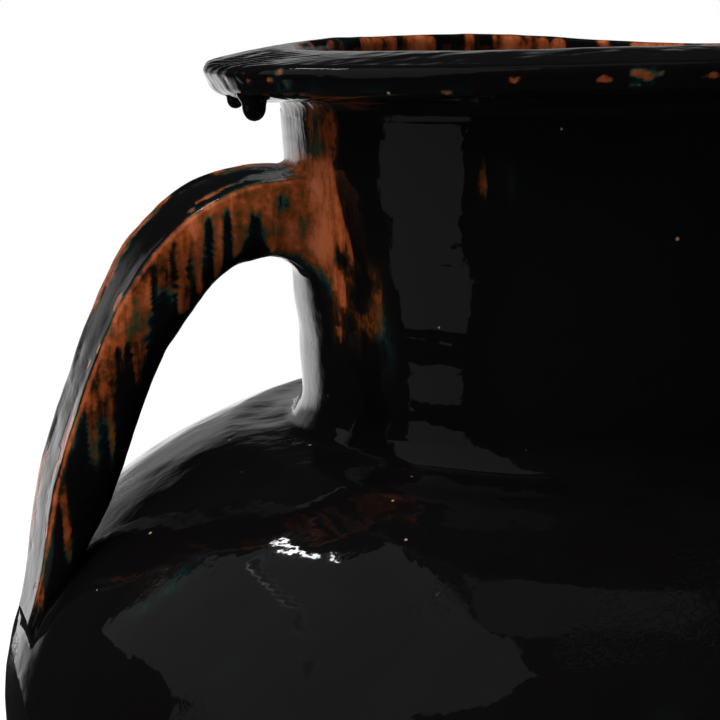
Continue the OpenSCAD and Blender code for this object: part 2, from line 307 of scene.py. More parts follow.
def placed(r, z, nr, nz, angle, outer, lip):
    """Points of the finished wall from places on the line and angles in degrees."""
    a = np.radians(angle)
    base = np.stack([r * np.cos(a), r * np.sin(a), z + 0 * a], -1)
    d = wall_relief(base, outer, lip)
    rr = np.minimum(r + d * nr, BODY_R - 0.1)
    zz = z + d * nz
    near_rim = fade(zz, BELOW_MOUTH + 40, RIM_Z - 6)
    left_end = hump(turn_gap(angle, 168), 0, 34) * fade(rr, 112, LIP_R) * near_rim
    zz = zz + near_rim * (rim_lift(angle) - 2.3) - 0.9 * left_end
    belly_of_lip = hump(turn_gap(angle, 182), 0, 30) * hump(r, 121, 9) \
        * (1 - fade(z, under_z + 1, under_z + 5))
    zz = zz - 2.6 * belly_of_lip * lip
    rr = rr + 1.2 * left_end
    return np.stack([rr * np.cos(a), rr * np.sin(a), zz], -1), base


def wall_at(title, place, angle):
    """The finished wall at fractional rows of one section, for pieces luted onto it."""
    first, end = rows[title]
    at = first + np.clip(place, 0, 1) * (end - 1 - first)
    index = np.arange(len(line))
    r, z = (np.interp(at, index, line[:, i]) for i in (0, 1))
    nr, nz = (np.interp(at, index, out_way[:, i]) for i in (0, 1))
    return placed(r, z, nr, nz, angle, True, False)[0]


out_way = line_directions(line)
crest_row = rows["lip"][0] + int(np.argmax(line[rows["lip"][0]:rows["lip"][1], 1]))
turns = np.arange(STEPS) * 360.0 / STEPS
row_index = np.arange(len(line))
is_outer = (row_index < rows["neck_out"][1])[:, None]
is_lip = ((row_index >= rows["lip"][0]) & (row_index < rows["lip"][1]))[:, None]
wall, wall_base = placed(
    line[:, :1], line[:, 1:], out_way[:, :1], out_way[:, 1:],
    turns[None, :] + np.zeros((len(line), 1)), is_outer, is_lip,
)
print("wall grid", wall.shape, "highest point", round(float(wall[..., 2].max()), 2))

# %% [markdown]
# Smooth shading must not show the seams between the thrown sections, because the
# glaze covers them. So the shading directions are taken from the whole wall before it
# is cut into pieces, and each piece keeps its share of them.

# %% Shading directions of the whole wall
around = np.roll(wall, -1, axis=1) - np.roll(wall, 1, axis=1)
along = np.empty_like(wall)
along[1:-1] = wall[2:] - wall[:-2]
along[0], along[-1] = wall[1] - wall[0], wall[-1] - wall[-2]
for title, (first, end) in rows.items():  # rows repeat at each seam, so step over them
    if first:
        along[first] = along[first - 1] = wall[first + 1] - wall[first - 2]
wall_normals = np.cross(around, along)
wall_normals /= np.maximum(np.linalg.norm(wall_normals, axis=-1, keepdims=True), 1e-9)
print("shading directions ready")

# %% [markdown]
# ## Where the glaze is thin
# The glaze breaks to rust where it ran off: around the roots of the handles, inside the
# mouth, in streaks under the lip and in a few chips of colour on the lip itself. The
# masks are painted onto the points of the mesh, as a glazer would think of them:
# by place on the jar. One more mask marks a furrow on the shoulder where two flows of
# glaze met and dried dull. Fine detail is added later in the material.

# %% Paint the masks of the wall
LIP_SPOTS = [
    (202, 402, 1.7), (199.5, 399.5, 1.5), (194, 399, 1.5), (186, 399, 1.3), (228.5, 396, 1.5),
    (237.5, 399, 1.5), (248, 399, 1.6), (253, 399.5, 2.9), (261, 399.5, 2.0),
    (282, 398, 2.2), (309, 399, 1.7), (335, 397, 2.4), (20, 398, 2.0), (61, 399, 1.5),
    (104, 397, 2.6), (131, 399, 1.8), (155, 398, 1.6),
]


def thin_on_neck(points, side):
    """Thin glaze on the neck around the handle whose middle is at angle side."""
    z = points[..., 2]
    gap = turn_gap(np.degrees(np.arctan2(points[..., 1], points[..., 0])), side)
    runs = noise(points * [1, 1, 0.12], 3.6, 21 + side)
    fine = noise(points * [1, 1, 0.2], 1.8, 22 + side)
    blot = noise(points, 7, 24)
    ragged = gap + 1.3 * noise(points * [1, 1, 0.3], 8, 23) + 0.5 * runs
    band_edge = 18.2 + 0.105 * (369 - z)
    under_lip = 0.46 * fade(ragged, -4, 2) * (1 - fade(ragged, 18, 21)) * fade(z, 352, 362)
    band = 0.8 * fade(ragged, 5, 9) * (1 - fade(ragged, band_edge - 0.8, band_edge + 0.6)) \
        * fade(z, 326 + 8 * runs, 340 + 10 * runs) * (1 - 0.55 * fade(z, 366, 373))
    root = 0.9 * (1 - fade(np.hypot((gap - 3) * 1.9, z - 347), 22, 31))
    lower_left = 1 - fade(334 - z + 1.1 * (12 - gap) + 4 * blot, 0, 10) * (gap < 13)
    web = 0.75 * hump(gap, 14, 4.5) * fade(z, 326 + 7 * runs, 336 + 7 * runs) * (1 - fade(z, 344, 352))
    thin = np.maximum.reduce([under_lip, band, root * lower_left, web])
    teal = (0.3 + 0.13 * blot + 0.1 * runs) * fade(ragged, 9, 15) * (1 - fade(ragged, 28, 32)) \
        * fade(z, 296 + 8 * runs, 312 + 8 * runs) * (1 - fade(z, 334, 340))
    tears = 0.75 * fade(runs + 0.35 * fine, 0.62, 0.8) * fade(blot, -0.1, 0.3) \
        * fade(ragged, 11, 15) * (1 - fade(ragged, 27, 29)) \
        * fade(z, 298, 306) * (1 - fade(z, 358, 366))
    thin = thin + 0.1 * runs * (thin > 0.05) + 0.06 * fine * (thin > 0.05)
    thin = np.maximum(thin, np.maximum(teal, tears))
    half = np.clip(3.3 + 0.035 * (z - 370), 0.5, 4.2) * fade(z, 329, 345)
    tongue = 1 - fade(np.abs(gap - 24.0 + 0.012 * (z - 370)), half - 0.4, half + 0.5)
    return np.clip(thin * (1 - tongue * fade(z, 328, 331)), 0, 1) * fade(z, 288, 306)


def paint_wall(points, inner):
    """Masks of the glaze: thin, pool (teal fringe), bare clay and dull; inner points face the bore."""
    z = points[..., 2]
    r = np.hypot(points[..., 0], points[..., 1])
    angle = np.degrees(np.arctan2(points[..., 1], points[..., 0])) % 360
    streak = noise(points * [1, 1, 0.1], 5.5, 31) + 0.6 * noise(points * [1, 1, 0.16], 2.4, 32)
    thin = np.maximum(thin_on_neck(points, 180), thin_on_neck(points, 0)) * (1 - fade(r, 111, 116))
    under = fade(z, 352 + 12 * streak, 380) * (z < under_z + 6)
    some = fade(noise(points * [1, 1, 0.02], 24, 33), 0.12, 0.5)
    thin = np.maximum(thin, 0.36 * under * some * fade(streak, 0.15, 0.85))
    patch = hump(turn_gap(angle, 229.7), 0, 3.6) * hump(z, 364, 8)
    thin = np.maximum(thin, 0.5 * patch * fade(streak, -0.5, 0.5))
    inside = fade(z, 330 + 14 * streak, 376 + 6 * streak)
    runs_in = noise(points * [1, 1, 0.08], 6.0, 34) + 0.5 * noise(points * [1, 1, 0.1], 2.6, 35)
    runs_in = fade(runs_in, -0.3, 0.35)
    thin = np.where(inner, inside * (0.12 + 0.78 * runs_in), thin)
    line_top = hump(r, crest[0] + 1.6, 2.6) * (z > RIM_Z - 12)
    thin = thin * (1 - 0.95 * line_top)
    for where, height, size in LIP_SPOTS:
        off = np.hypot(turn_gap(angle, where) * 2.35 / (1.5 * size), (z - height + 2.2) / (0.8 * size))
        off = off + 0.55 * noise(points, 1.9, 36)
        thin = np.maximum(thin, 0.66 * (1 - fade(off, 0.5, 1.2)) * (r > 126))
    low_lip = (r > 112) * (z > 386) * (1 - fade(z, 393, 397)) * ~inner
    mottle = noise(points * [1, 1, 2.5], 12, 40) + 0.5 * streak
    thin = np.maximum(thin, 0.16 * low_lip * fade(mottle, 0.0, 0.7))
    on_body = (z < 268) * (r > 120) * ~inner
    brown = 0.05 * fade(noise(points, 34, 37) + 0.4 * noise(points, 11, 38), 0.6, 1.0) * on_body
    stain = hump(turn_gap(angle, 200.5), 0, 4) * hump(r, 181, 9) + 0.4 * noise(points, 9, 41)
    brown = np.maximum(brown, 0.17 * fade(stain, 0.35, 0.9) * on_body)
    thin = np.maximum(thin, brown)
    pool = np.clip(0.5 + 0.5 * noise(points * [1, 1, 0.4], 16, 39), 0, 1)
    dull = fade(glaze_seam(points), 0.2, 0.6) * ~inner
    return {"thin": thin, "pool": pool, "bare": 1 - glaze_edge(points), "dull": dull}


print("masks of the wall are defined")

# %% [markdown]
# ## From points to a mesh
# Every piece in this lesson is a grid of points: rings of points, one after the other.

# %% Helpers that make a piece
def ring_faces(count, width, closed):
    """Faces between neighbouring rings; closed also joins the last ring to the first."""
    i = np.arange(count if closed else count - 1)[:, None]
    j = np.arange(width)[None, :]
    j2, i2 = (j + 1) % width, (i + 1) % count
    quads = np.stack([i * width + j, i * width + j2, i2 * width + j2, i2 * width + j], -1)
    return quads.reshape(-1, 4)


def make_piece(name, node, points, faces, masks, loop_normals=None):
    """A mesh object in metres that stands for one CAD node."""
    mesh = bpy.data.meshes.new(name)
    mesh.from_pydata((points.reshape(-1, 3) * MM).tolist(), [], [list(f) for f in faces])
    mesh.shade_smooth()
    for title, values in masks.items():
        layer = mesh.attributes.new(title, "FLOAT", "POINT")
        layer.data.foreach_set("value", np.ravel(values).astype(np.float32))
    if loop_normals is not None:
        mesh.normals_split_custom_set(loop_normals.reshape(-1, 3).tolist())
    piece = bpy.data.objects.new(name, mesh)
    bpy.context.scene.collection.objects.link(piece)
    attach(piece, "root")
    if node:
        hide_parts(*node)
    print(name, len(mesh.polygons), "faces")
    return piece


def wall_piece(name, node, spans):
    """A closed shell from spans of the wall's rings; seams between spans stay flat."""
    index = np.concatenate([np.arange(*rows[s]) for s in spans])
    points = wall[index]
    quads = ring_faces(len(index), STEPS, True)
    normals = wall_normals[index].reshape(-1, 3)[quads]
    breaks = [k for k in range(len(index)) if index[(k + 1) % len(index)] != index[k] + 1]
    for k in breaks:
        sel = slice(k * STEPS, (k + 1) * STEPS)
        corner = points.reshape(-1, 3)[quads[sel]]
        flat = np.cross(corner[:, 1] - corner[:, 0], corner[:, 3] - corner[:, 0])
        flat /= np.maximum(np.linalg.norm(flat, axis=-1, keepdims=True), 1e-9)
        normals[sel] = flat[:, None, :]
    masks = paint_wall(wall_base[index], (index > crest_row)[:, None] & np.ones((1, STEPS), bool))
    return make_piece(name, node, points, quads.tolist(), masks, normals)


# %% [markdown]
# ## The four thrown sections
# Bowl, shoulder, neck and lip are thrown one by one and luted at bevelled seams. Each
# is a closed shell here too: an outer span of the line, the seam, the inner span, and
# the other seam.

# %% Make the thrown sections
lower_body = wall_piece("lower_bowl", ["lower_body"], ["lower_out", "lower_in"])
upper_body = wall_piece("shoulder", ["upper_body"], ["upper_out", "upper_in"])
neck = wall_piece("thrown_neck", ["neck"], ["neck_out", "neck_in"])
rim_lip = wall_piece("rolled_lip", ["rim_lip"], ["lip"])

# %% [markdown]
# ## Foot slab and inside coils
# The floor is a beaten slab. Where it meets the wall, and over the belly seam, a coil
# was pressed in with the thumb. Both are bare clay. A closed outline is turned, and the
# thumb's prints go round the coils as a row of shallow dents.

# %% Make the slab and the coils
def turned_piece(name, node, outline, relief):
    """A closed outline turned round the axis; outline runs counter to the clock in (r, z)."""
    steps = 360
    angle = np.radians(np.arange(steps) * 360 / steps)[None, :]
    run = np.roll(outline, -1, axis=0) - np.roll(outline, 1, axis=0)
    run /= np.maximum(np.hypot(*run.T), 1e-9)[:, None]
    base = np.stack([
        outline[:, :1] * np.cos(angle), outline[:, :1] * np.sin(angle),
        outline[:, 1:] + 0 * angle,
    ], -1)
    d = relief(base, angle)
    r = outline[:, :1] + d * run[:, 1:]
    z = outline[:, 1:] - d * run[:, :1]
    points = np.stack([r * np.cos(angle), r * np.sin(angle), z], -1)
    zero = np.zeros(points.shape[:2])
    masks = {"thin": zero, "pool": zero, "bare": zero + 1}
    faces = ring_faces(len(outline), steps, True).tolist()
    return make_piece(name, node, points, faces, masks)


def thumb_prints(count, depth):
    """Dents of a thumb pressed round a coil."""
    return lambda base, angle: depth * (
        0.5 * np.cos(count * angle + 1.5 * noise(base, 40, 61)) - 0.5 + 0.4 * noise(base, 9, 62)
    )


coil_wall = np.array([[float(bowl_r(z, WALL)), z] for z in np.linspace(FLOOR_T, 31.5, 10)])
coil_out = bend(coil_wall[-1], coil_wall[0] + [-2, 4], coil_wall[0] - [12, 0], 16)
foot_coil = turned_piece(
    "thumbed_foot_coil", ["foot_coil"], np.vstack([coil_wall, coil_out[1:]]),
    thumb_prints(26, 0.7),
)
low_side = np.array([[float(bowl_r(z, WALL)), z] for z in np.linspace(163.5, BELLY_H, 8)])
high_side = np.array(dome_line(COLLAR_R, WALL, BELLY_H))
high_side = spaced(high_side[high_side[:, 1] < 196], 8)[1:]
crown = [BODY_R - WALL - 10, BELLY_H + BEVEL / 2]
belly_out = bend(high_side[-1], crown, low_side[0], 22)[1:-1]
belly_coil = turned_piece(
    "thumbed_belly_coil", ["belly_coil"], np.vstack([low_side, high_side, belly_out]),
    thumb_prints(44, 0.9),
)

slab_steps = 360
slab_angle = np.radians(np.arange(slab_steps))[None, :]
slab_r = np.concatenate([
    np.linspace(1, FOOT_R - 2, 46), [FOOT_R - 0.6], bowl_r(np.linspace(1.2, FLOOR_T - BEVEL, 8)),
    np.linspace(float(bowl_r(FLOOR_T, WALL)), 1, 46),
])
slab_z = np.concatenate([
    np.zeros(46), [0.3], np.linspace(1.2, FLOOR_T - BEVEL, 8), np.full(46, FLOOR_T),
])
slab_base = np.stack([
    slab_r[:, None] * np.cos(slab_angle), slab_r[:, None] * np.sin(slab_angle),
    slab_z[:, None] + 0 * slab_angle,
], -1)
floor_swirl = 0.35 * np.sin(np.hypot(slab_base[..., 0], slab_base[..., 1]) / 2.2)
top_face = (slab_z[:, None] > FLOOR_T - 0.5) & (slab_r[:, None] < 100)
slab_base[..., 2] += np.where(top_face, floor_swirl - 0.4 + 0.3 * noise(slab_base, 30, 63), 0)
slab_faces = ring_faces(len(slab_r), slab_steps, False).tolist()
slab_faces.append(list(range(slab_steps))[::-1])
slab_faces.append([(len(slab_r) - 1) * slab_steps + i for i in range(slab_steps)])
slab_zero = np.zeros(slab_base.shape[:2])
foot_slab = make_piece(
    "beaten_slab", ["foot_slab"], slab_base, slab_faces,
    {"thin": slab_zero, "pool": slab_zero, "bare": slab_zero + 1},
)

# %% [markdown]
# ## The strap handles
# A strap is pulled from a wet lump of clay: wide and thick at its root, with a groove
# left by the thumb down its outer face, and pinched to a tongue on the shoulder. A
# section is swept along its middle line. The section is a full rounded rectangle, so
# the groove lies between two ridges, where the glaze later breaks to rust. Hands are
# not level, so the section leans a few degrees near the root.

# %% Sweep the straps
root_z = RIM_Z - ROOT_DROP
ROOT = np.array([NECK_LOW_R + 5 * (root_z - SHOULDER_SEAM) / NECK_H - NECK_WALL, root_z])
BOW = ROOT + [63, 14.5]
LANDING = np.array([BODY_R - LANDING_INSET, float(dome_z(BODY_R - LANDING_INSET))])
FALL = LANDING + [-30, 74]
AROUND = 112


def strap_line(t):
    """Middle line of the right handle in the plane of the handles, at places t."""
    t = np.asarray(t, float)
    mid = bezier(ROOT, BOW, FALL, LANDING, np.clip(t, 0, 1))
    before = 3 * np.minimum(t, 0)[..., None] * (BOW - ROOT)
    after = np.maximum(t - 1, 0)[..., None] * np.array([0, -222.0])
    return mid + before + after


def strap_skin(t, a, seed=0):
    """Points of the right strap's skin at places t and section angles a."""
    t, a = np.broadcast_arrays(np.asarray(t, float), np.asarray(a, float))
    mid = strap_line(t)
    run = strap_line(t + 0.01) - strap_line(t - 0.01)
    run /= np.linalg.norm(run, axis=-1, keepdims=True)
    w = (43 - 6 * np.maximum(t, 0)) / 2 * (1 - 0.3 * fade(t, 0.9, 1.06))
    h = (30.5 - 9 * np.maximum(t, 0)) / 2 * (1 - 0.72 * fade(t, 0.78, 1.02))
    c, s = np.cos(a), np.sin(a)
    across = w * np.sign(c) * np.abs(c) ** 0.66
    lift = h * np.sign(s) * np.abs(s) ** 0.66
    groove = 2.6 * h / 14.75 * np.exp(-((1.45 * across / w) ** 4))
    lift = lift - groove * (s > 0)
    ridge = np.exp(-(((a - 0.82) / 0.2) ** 2)) + np.exp(-(((a - pi + 0.82) / 0.2) ** 2))
    where = np.stack([mid[..., 0], across, mid[..., 1]], -1)
    bumps = 0.5 * noise(where, 21, 71 + seed) + 0.32 * noise(where, 9, 72 + seed) \
        + 0.13 * noise(where, 4, 73 + seed)
    bumps = bumps * (0.9 - 0.55 * hump(across / w, 0, 0.6) * (s > 0))
    grow = 1 + (bumps + 0.9 * ridge * (0.6 + 0.4 * noise(where, 13, 74 + seed))) / 14
    lean = np.radians(7 - 3.5 * fade(t, 0.3, 0.6)) * (1 - fade(t, 0.85, 1.05)) * fade(t, -0.1, 0.12)
    across, lift = across * grow, lift * grow
    across, lift = (
        across * np.cos(lean) + lift * np.sin(lean), lift * np.cos(lean) - across * np.sin(lean),
    )
    out = np.stack([-run[..., 1], 0 * t, run[..., 0]], -1)
    return np.stack([mid[..., 0], across, mid[..., 1]], -1) + lift[..., None] * out


def on_side(points, side):
    """The left handle is the right one turned half way round."""
    return points * [-1, -1, 1] if side == "left" else points


def strap_masks(t, a, points):
    """Thin glaze on the ridges, root and side runs; the side runs dim down the strap as painted shade.
    """
    t, a = np.broadcast_arrays(t, a)
    near = np.cos(a) >= 0
    angle = (np.degrees(np.where(near, a, pi - a)) + 180) % 360 - 180
    runs = noise(points * [1, 0.3, 0.1], 3.1, 81) + 0.45 * noise(points * [1, 0.3, 0.16], 1.5, 82)
    broad = noise(points, 19, 83)
    blot = noise(points, 5, 85)
    ridge = hump(angle, np.where(near, 44, 58) + 3 * broad, np.where(near, 8, 15) + 3 * blot)
    ridge = ridge * fade(broad + 0.4 * blot + np.where(near, 0.9, 0.4 * (t < 0.6)), -0.35, 0.1)
    climb = (angle + 55) / 95 - 0.56 - 0.72 * runs - 0.25 * broad - 0.12 * blot
    climb = climb - 0.42 * fade(t, 0.32, 0.75) + 0.25 * fade(0.3 - t, 0, 0.2)
    # painted shade: the drop over t 0.4 to 0.7 darkens the side runs on the lower strap, and the thin
    # mask carries it
    flank_level_and_shade = 0.62 - 0.14 * fade(t, 0.4, 0.7) + 0.1 * blot + 0.12 * noise(points, 2.2, 86)
    flank_rust_and_shade = flank_level_and_shade * fade(climb, -0.2, 0.2) * (1 - fade(angle, 42, 52))
    root = fade(0.16 - t, 0, 0.1) * (0.9 - 0.75 * hump(angle, 92, 26) + 0.35 * blot) \
        * fade(angle, -66, -40)
    island = 0.75 * fade(blot + 0.8 * broad, 0.5, 0.66) * fade(angle, 50, 58) * (1 - fade(angle, 72, 86))
    thin = np.maximum.reduce([0.74 * ridge, flank_rust_and_shade, 0.8 * root, island])
    thin = thin * (1 - 0.85 * fade(t, 0.95, 1.0))
    pool = np.clip(0.52 + 0.5 * noise(points, 20, 84) + 0.15 * runs, 0, 1)
    return {"thin": np.clip(thin, 0, 1), "pool": pool, "bare": 0 * thin}


def strap_handle(side):
    """One strap, from inside the neck wall to inside the shoulder wall."""
    t = np.linspace(-0.005, 1.012, 250)[:, None]
    a = np.linspace(0, 2 * pi, AROUND, endpoint=False)[None, :]
    skin = strap_skin(t, a, 5 if side == "right" else 0)
    masks = strap_masks(t, a, skin)
    faces = ring_faces(len(t), AROUND, False).tolist()
    faces.append(list(range(AROUND))[::-1])
    faces.append([(len(t) - 1) * AROUND + i for i in range(AROUND)])
    return make_piece(
        f"{side}_strap", [f"{side}_handle"], on_side(skin, side), faces, masks
    )


straps = {side: strap_handle(side) for side in ("left", "right")}

# %% [markdown]
# ## The wads that hold the handles
# Wet clay is pressed round each end and smeared onto the wall, so the strap flows into
# the neck above and into the shoulder below. Each wad is a collar of short curves: a
# curve leaves along the strap's skin and arrives along the wall. It is closed on its
# hidden side just under both skins.

# %% Press on the wads
def meeting_place(kind, a, seed):
    """For each section angle, the place t where the strap's skin enters the wall."""
    t = np.linspace(0.3, 0.0, 400) if kind == "neck" else np.linspace(0.8, 1.04, 400)
    skin = strap_skin(t[:, None], a[None, :], seed)
    r, z = np.hypot(skin[..., 0], skin[..., 1]), skin[..., 2]
    if kind == "neck":
        depth = r - (NECK_LOW_R + 5 * (z - SHOULDER_SEAM) / NECK_H)
    else:
        depth = z - dome_z(np.minimum(r, BODY_R - 0.01))
    first = np.argmax(depth < 0, axis=0)
    return t[first]


def wall_coordinates(kind, points):
    """Place along the wall's section and angle in degrees under the points."""
    angle = np.degrees(np.arctan2(points[..., 1], points[..., 0]))
    if kind == "neck":
        return (points[..., 2] - SHOULDER_SEAM) / NECK_H, angle
    first, end = rows["upper_out"]
    part = line[first:end]
    r = np.hypot(points[..., 0], points[..., 1])
    place = np.interp(-r, -part[:, 0], np.linspace(0, 1, end - first))
    return place, angle


def grid_directions(points, flip):
    """Shading directions of a grid of rings, from its own neighbours."""
    ahead = np.gradient(points, axis=0)
    beside = np.roll(points, -1, axis=1) - np.roll(points, 1, axis=1)
    way = np.cross(beside, ahead) * flip
    return way / np.maximum(np.linalg.norm(way, axis=-1, keepdims=True), 1e-9)


def wad(side, kind):
    """A smeared clay collar at one end of one strap."""
    seed = 5 if side == "right" else 0
    a = np.linspace(0, 2 * pi, AROUND, endpoint=False)
    t_meet = meeting_place(kind, a, seed)
    below = np.clip(-np.sin(a), 0, 1)
    if kind == "neck":
        title, length, t_gap = "neck_out", NECK_H, 0.055 + 0.06 * below
        flare = 5.5 + 7.5 * below + 2.0 * noise(np.column_stack([a * 12, a * 0, a * 0]), 9, 75 + seed)
    else:
        title, t_gap = "upper_out", -0.035 - 0.02 * below
        part = line[rows[title][0]:rows[title][1]]
        length = float(np.hypot(*np.diff(part, axis=0).T).sum())
        flare = 3.4 + 1.5 * below + 1.2 * noise(np.column_stack([a * 12, a * 0, a * 0]), 9, 76 + seed)
    meet = strap_skin(t_meet, a, seed)
    place, angle = wall_coordinates(kind, meet)
    r_here = np.hypot(meet[:, 0], meet[:, 1])
    flat = np.column_stack([np.radians(turn_gap(angle, 0)) * r_here, place * length])
    away = flat - flat.mean(axis=0)
    away /= np.linalg.norm(away, axis=1, keepdims=True)
    foot_flat = flat + flare[:, None] * away
    edge_angle = np.degrees(foot_flat[:, 0] / r_here)
    k = np.linspace(0, 1, 22)[:, None]
    turn = 180.0 if side == "left" else 0.0
    sign = np.array([-1, -1, 1]) if side == "left" else np.array([1, 1, 1])
    edge = wall_at(title, foot_flat[:, 1] / length, edge_angle + turn) * sign
    corner = wall_at(title, flat[:, 1] / length, np.degrees(flat[:, 0] / r_here) + turn) * sign
    start = strap_skin(t_meet + t_gap, a, seed)
    k3 = k[..., None]
    outer = (1 - k3) ** 2 * start[None] + 2 * k3 * (1 - k3) * corner[None] + k3**2 * edge[None]
    middle = meet.mean(axis=0)[None, :] + 0 * meet
    puff = 0.9 + 0.5 * noise(outer, 7, 77 + seed)[..., None] + 0.25 * noise(outer, 3.5, 78)[..., None]
    puff = np.sin(pi * k3) * puff
    normal = start[None] + edge[None] - 2 * corner[None]
    normal = normal / np.maximum(np.linalg.norm(normal, axis=-1, keepdims=True), 1e-9)
    outer = outer + 0.55 * puff * normal
    pull = (middle - corner) / np.linalg.norm(middle - corner, axis=1, keepdims=True)
    way = 1.0 if kind == "neck" else -1.0
    own = grid_directions(outer, way)
    foot_place, foot_turn = foot_flat[:, 1] / length, edge_angle + turn
    d_turn, d_place = 0.4, 0.008  # small steps to either side, for the slope of the wall
    sideways = wall_at(title, foot_place, foot_turn + d_turn) \
        - wall_at(title, foot_place, foot_turn - d_turn)
    upwards = wall_at(title, foot_place + d_place, foot_turn) \
        - wall_at(title, foot_place - d_place, foot_turn)
    on_wall = np.cross(sideways, upwards) * sign * np.prod(sign)
    on_wall /= np.linalg.norm(on_wall, axis=-1, keepdims=True)
    dt, da = 0.006, 0.03
    on_strap = np.cross(
        strap_skin(t_meet + t_gap, a + da, seed) - strap_skin(t_meet + t_gap, a - da, seed),
        strap_skin(t_meet + t_gap + dt, a, seed) - strap_skin(t_meet + t_gap - dt, a, seed),
    )
    on_strap /= np.linalg.norm(on_strap, axis=-1, keepdims=True)
    if (on_strap[AROUND // 4] * (start - middle)[AROUND // 4]).sum() < 0:
        on_strap = -on_strap
    if (own[2, AROUND // 4] * on_strap[AROUND // 4]).sum() < 0:
        own = -own
    print(side, kind, "wall way", round(float((on_wall * own[-2]).sum(-1).mean()), 2),
          "strap way", round(float((on_strap * own[1]).sum(-1).mean()), 2))
    share = fade(k3, 0.62, 1.0)
    own = own * (1 - share) + on_wall[None] * share
    share = 1 - fade(k3, 0.0, 0.3)
    own = own * (1 - share) + on_strap[None] * share
    own /= np.linalg.norm(own, axis=-1, keepdims=True)
    hidden = np.stack([
        edge + 0.7 * (corner - edge) - 1.5 * normal[0],
        corner + 1.2 * pull - 1.5 * normal[0],
        start + 0.6 * (corner - start) + 1.6 * pull - 1.2 * normal[0],
    ])
    grid = np.concatenate([outer, hidden])
    strap_part = strap_masks((t_meet + t_gap)[None, :] + 0 * k, a[None, :] + 0 * k, outer)
    if kind == "neck":
        wall_part = paint_wall(on_side(outer, side), np.zeros(outer.shape[:2], bool))
    else:
        zero = 0 * outer[..., 0]
        wall_part = {"thin": 0.1 + zero, "pool": strap_part["pool"], "bare": zero}
    masks = {}
    for mask, values in strap_part.items():
        mixed = values * (1 - fade(k, 0.1, 0.9)) + wall_part[mask] * fade(k, 0.1, 0.9)
        masks[mask] = np.concatenate([mixed, np.repeat(mixed[-1:], 3, axis=0)])
    order = -1 if kind == "neck" else 1
    faces = ring_faces(len(grid), AROUND, True)[:, ::order]
    shown = np.concatenate([own, own[-1:], own[-1:] * 0, own[:1] * 0]).reshape(-1, 3)[faces] * sign
    shown[(len(outer) - 1) * AROUND:] = 0
    faces = faces.tolist()
    which = "upper" if kind == "neck" else "lower"
    return make_piece(
        f"{side}_{which}_smear", [f"{side}_{which}_wad"], on_side(grid, side), faces, masks, shown,
    )


wads = [wad(side, kind) for side in ("left", "right") for kind in ("neck", "shoulder")]

# %% [markdown]
# ## Two frozen drips
# Glaze ran off the lip and froze as two beads above the left handle. A line with a
# round end is turned for each, a little out of round.

# %% Hang the drips
def drip(angle, radius, length):
    """Points and faces of one bead of glaze under the lip."""
    steps, levels = 48, 30
    k = np.linspace(0, 1, levels)
    r = radius * np.sqrt(np.clip(1 - np.clip((k - 0.5) / 0.5, 0, 1) ** 2.2, 0, 1))
    r = r + radius * 0.45 * (1 - fade(k, 0.12, 0.6)) ** 2
    r[-1] = 0.1
    z = 3.0 - k * (3.0 + length)
    a = np.linspace(0, 2 * pi, steps, endpoint=False)
    place = LIP_R - 1.7 * 4.4
    x0, y0 = place * cos(radians(angle)), place * sin(radians(angle))
    points = np.stack([
        x0 + r[:, None] * np.cos(a), y0 + r[:, None] * 0.92 * np.sin(a),
        under_z - 4.6 + z[:, None] + 0 * a[None, :],
    ], -1)
    points[..., :2] += 0.07 * noise(points, 6.0, 91)[..., None] * fade(r, 0.3, 1.5)[:, None, None]
    faces = ring_faces(levels, steps, False)[:, ::-1].tolist()
    faces.append(list(range(steps)))
    faces.append([(levels - 1) * steps + i for i in range(steps)][::-1])
    return points.reshape(-1, 3), faces


bead_points, bead_faces = drip(188.3, 3.9, 6.9)
small_points, small_faces = drip(178.4, 2.9, 3.7)
shift = len(bead_points)
bead_faces += [[i + shift for i in face] for face in small_faces]
bead_points = np.vstack([bead_points, small_points])
bead_zero = np.zeros(len(bead_points))
drips = make_piece(
    "glaze_beads", ["glaze_drips"], bead_points, bead_faces,
    {"thin": bead_zero, "pool": bead_zero + 0.3, "bare": bead_zero},
)

# %% [markdown]
# ## Node groups for the finishes
# Three effects are used by more than one finish, so each is a node group with named
# inputs and outputs: how the glaze changes colour as it thins, pin holes with their
# small craters, and the ripple of a surface that was once liquid.

# %% A helper that starts a node group
def new_group(title, inputs, outputs):
    """An empty shader node group with named sockets."""
    group = bpy.data.node_groups.new(title, "ShaderNodeTree")
    for name, kind, value in inputs:
        socket = group.interface.new_socket(name, in_out="INPUT", socket_type=kind)
        if value is not None:
            socket.default_value = value
    for name, kind in outputs:
        group.interface.new_socket(name, in_out="OUTPUT", socket_type=kind)
    group.nodes.new("NodeGroupInput")
    group.nodes.new("NodeGroupOutput")
    return group


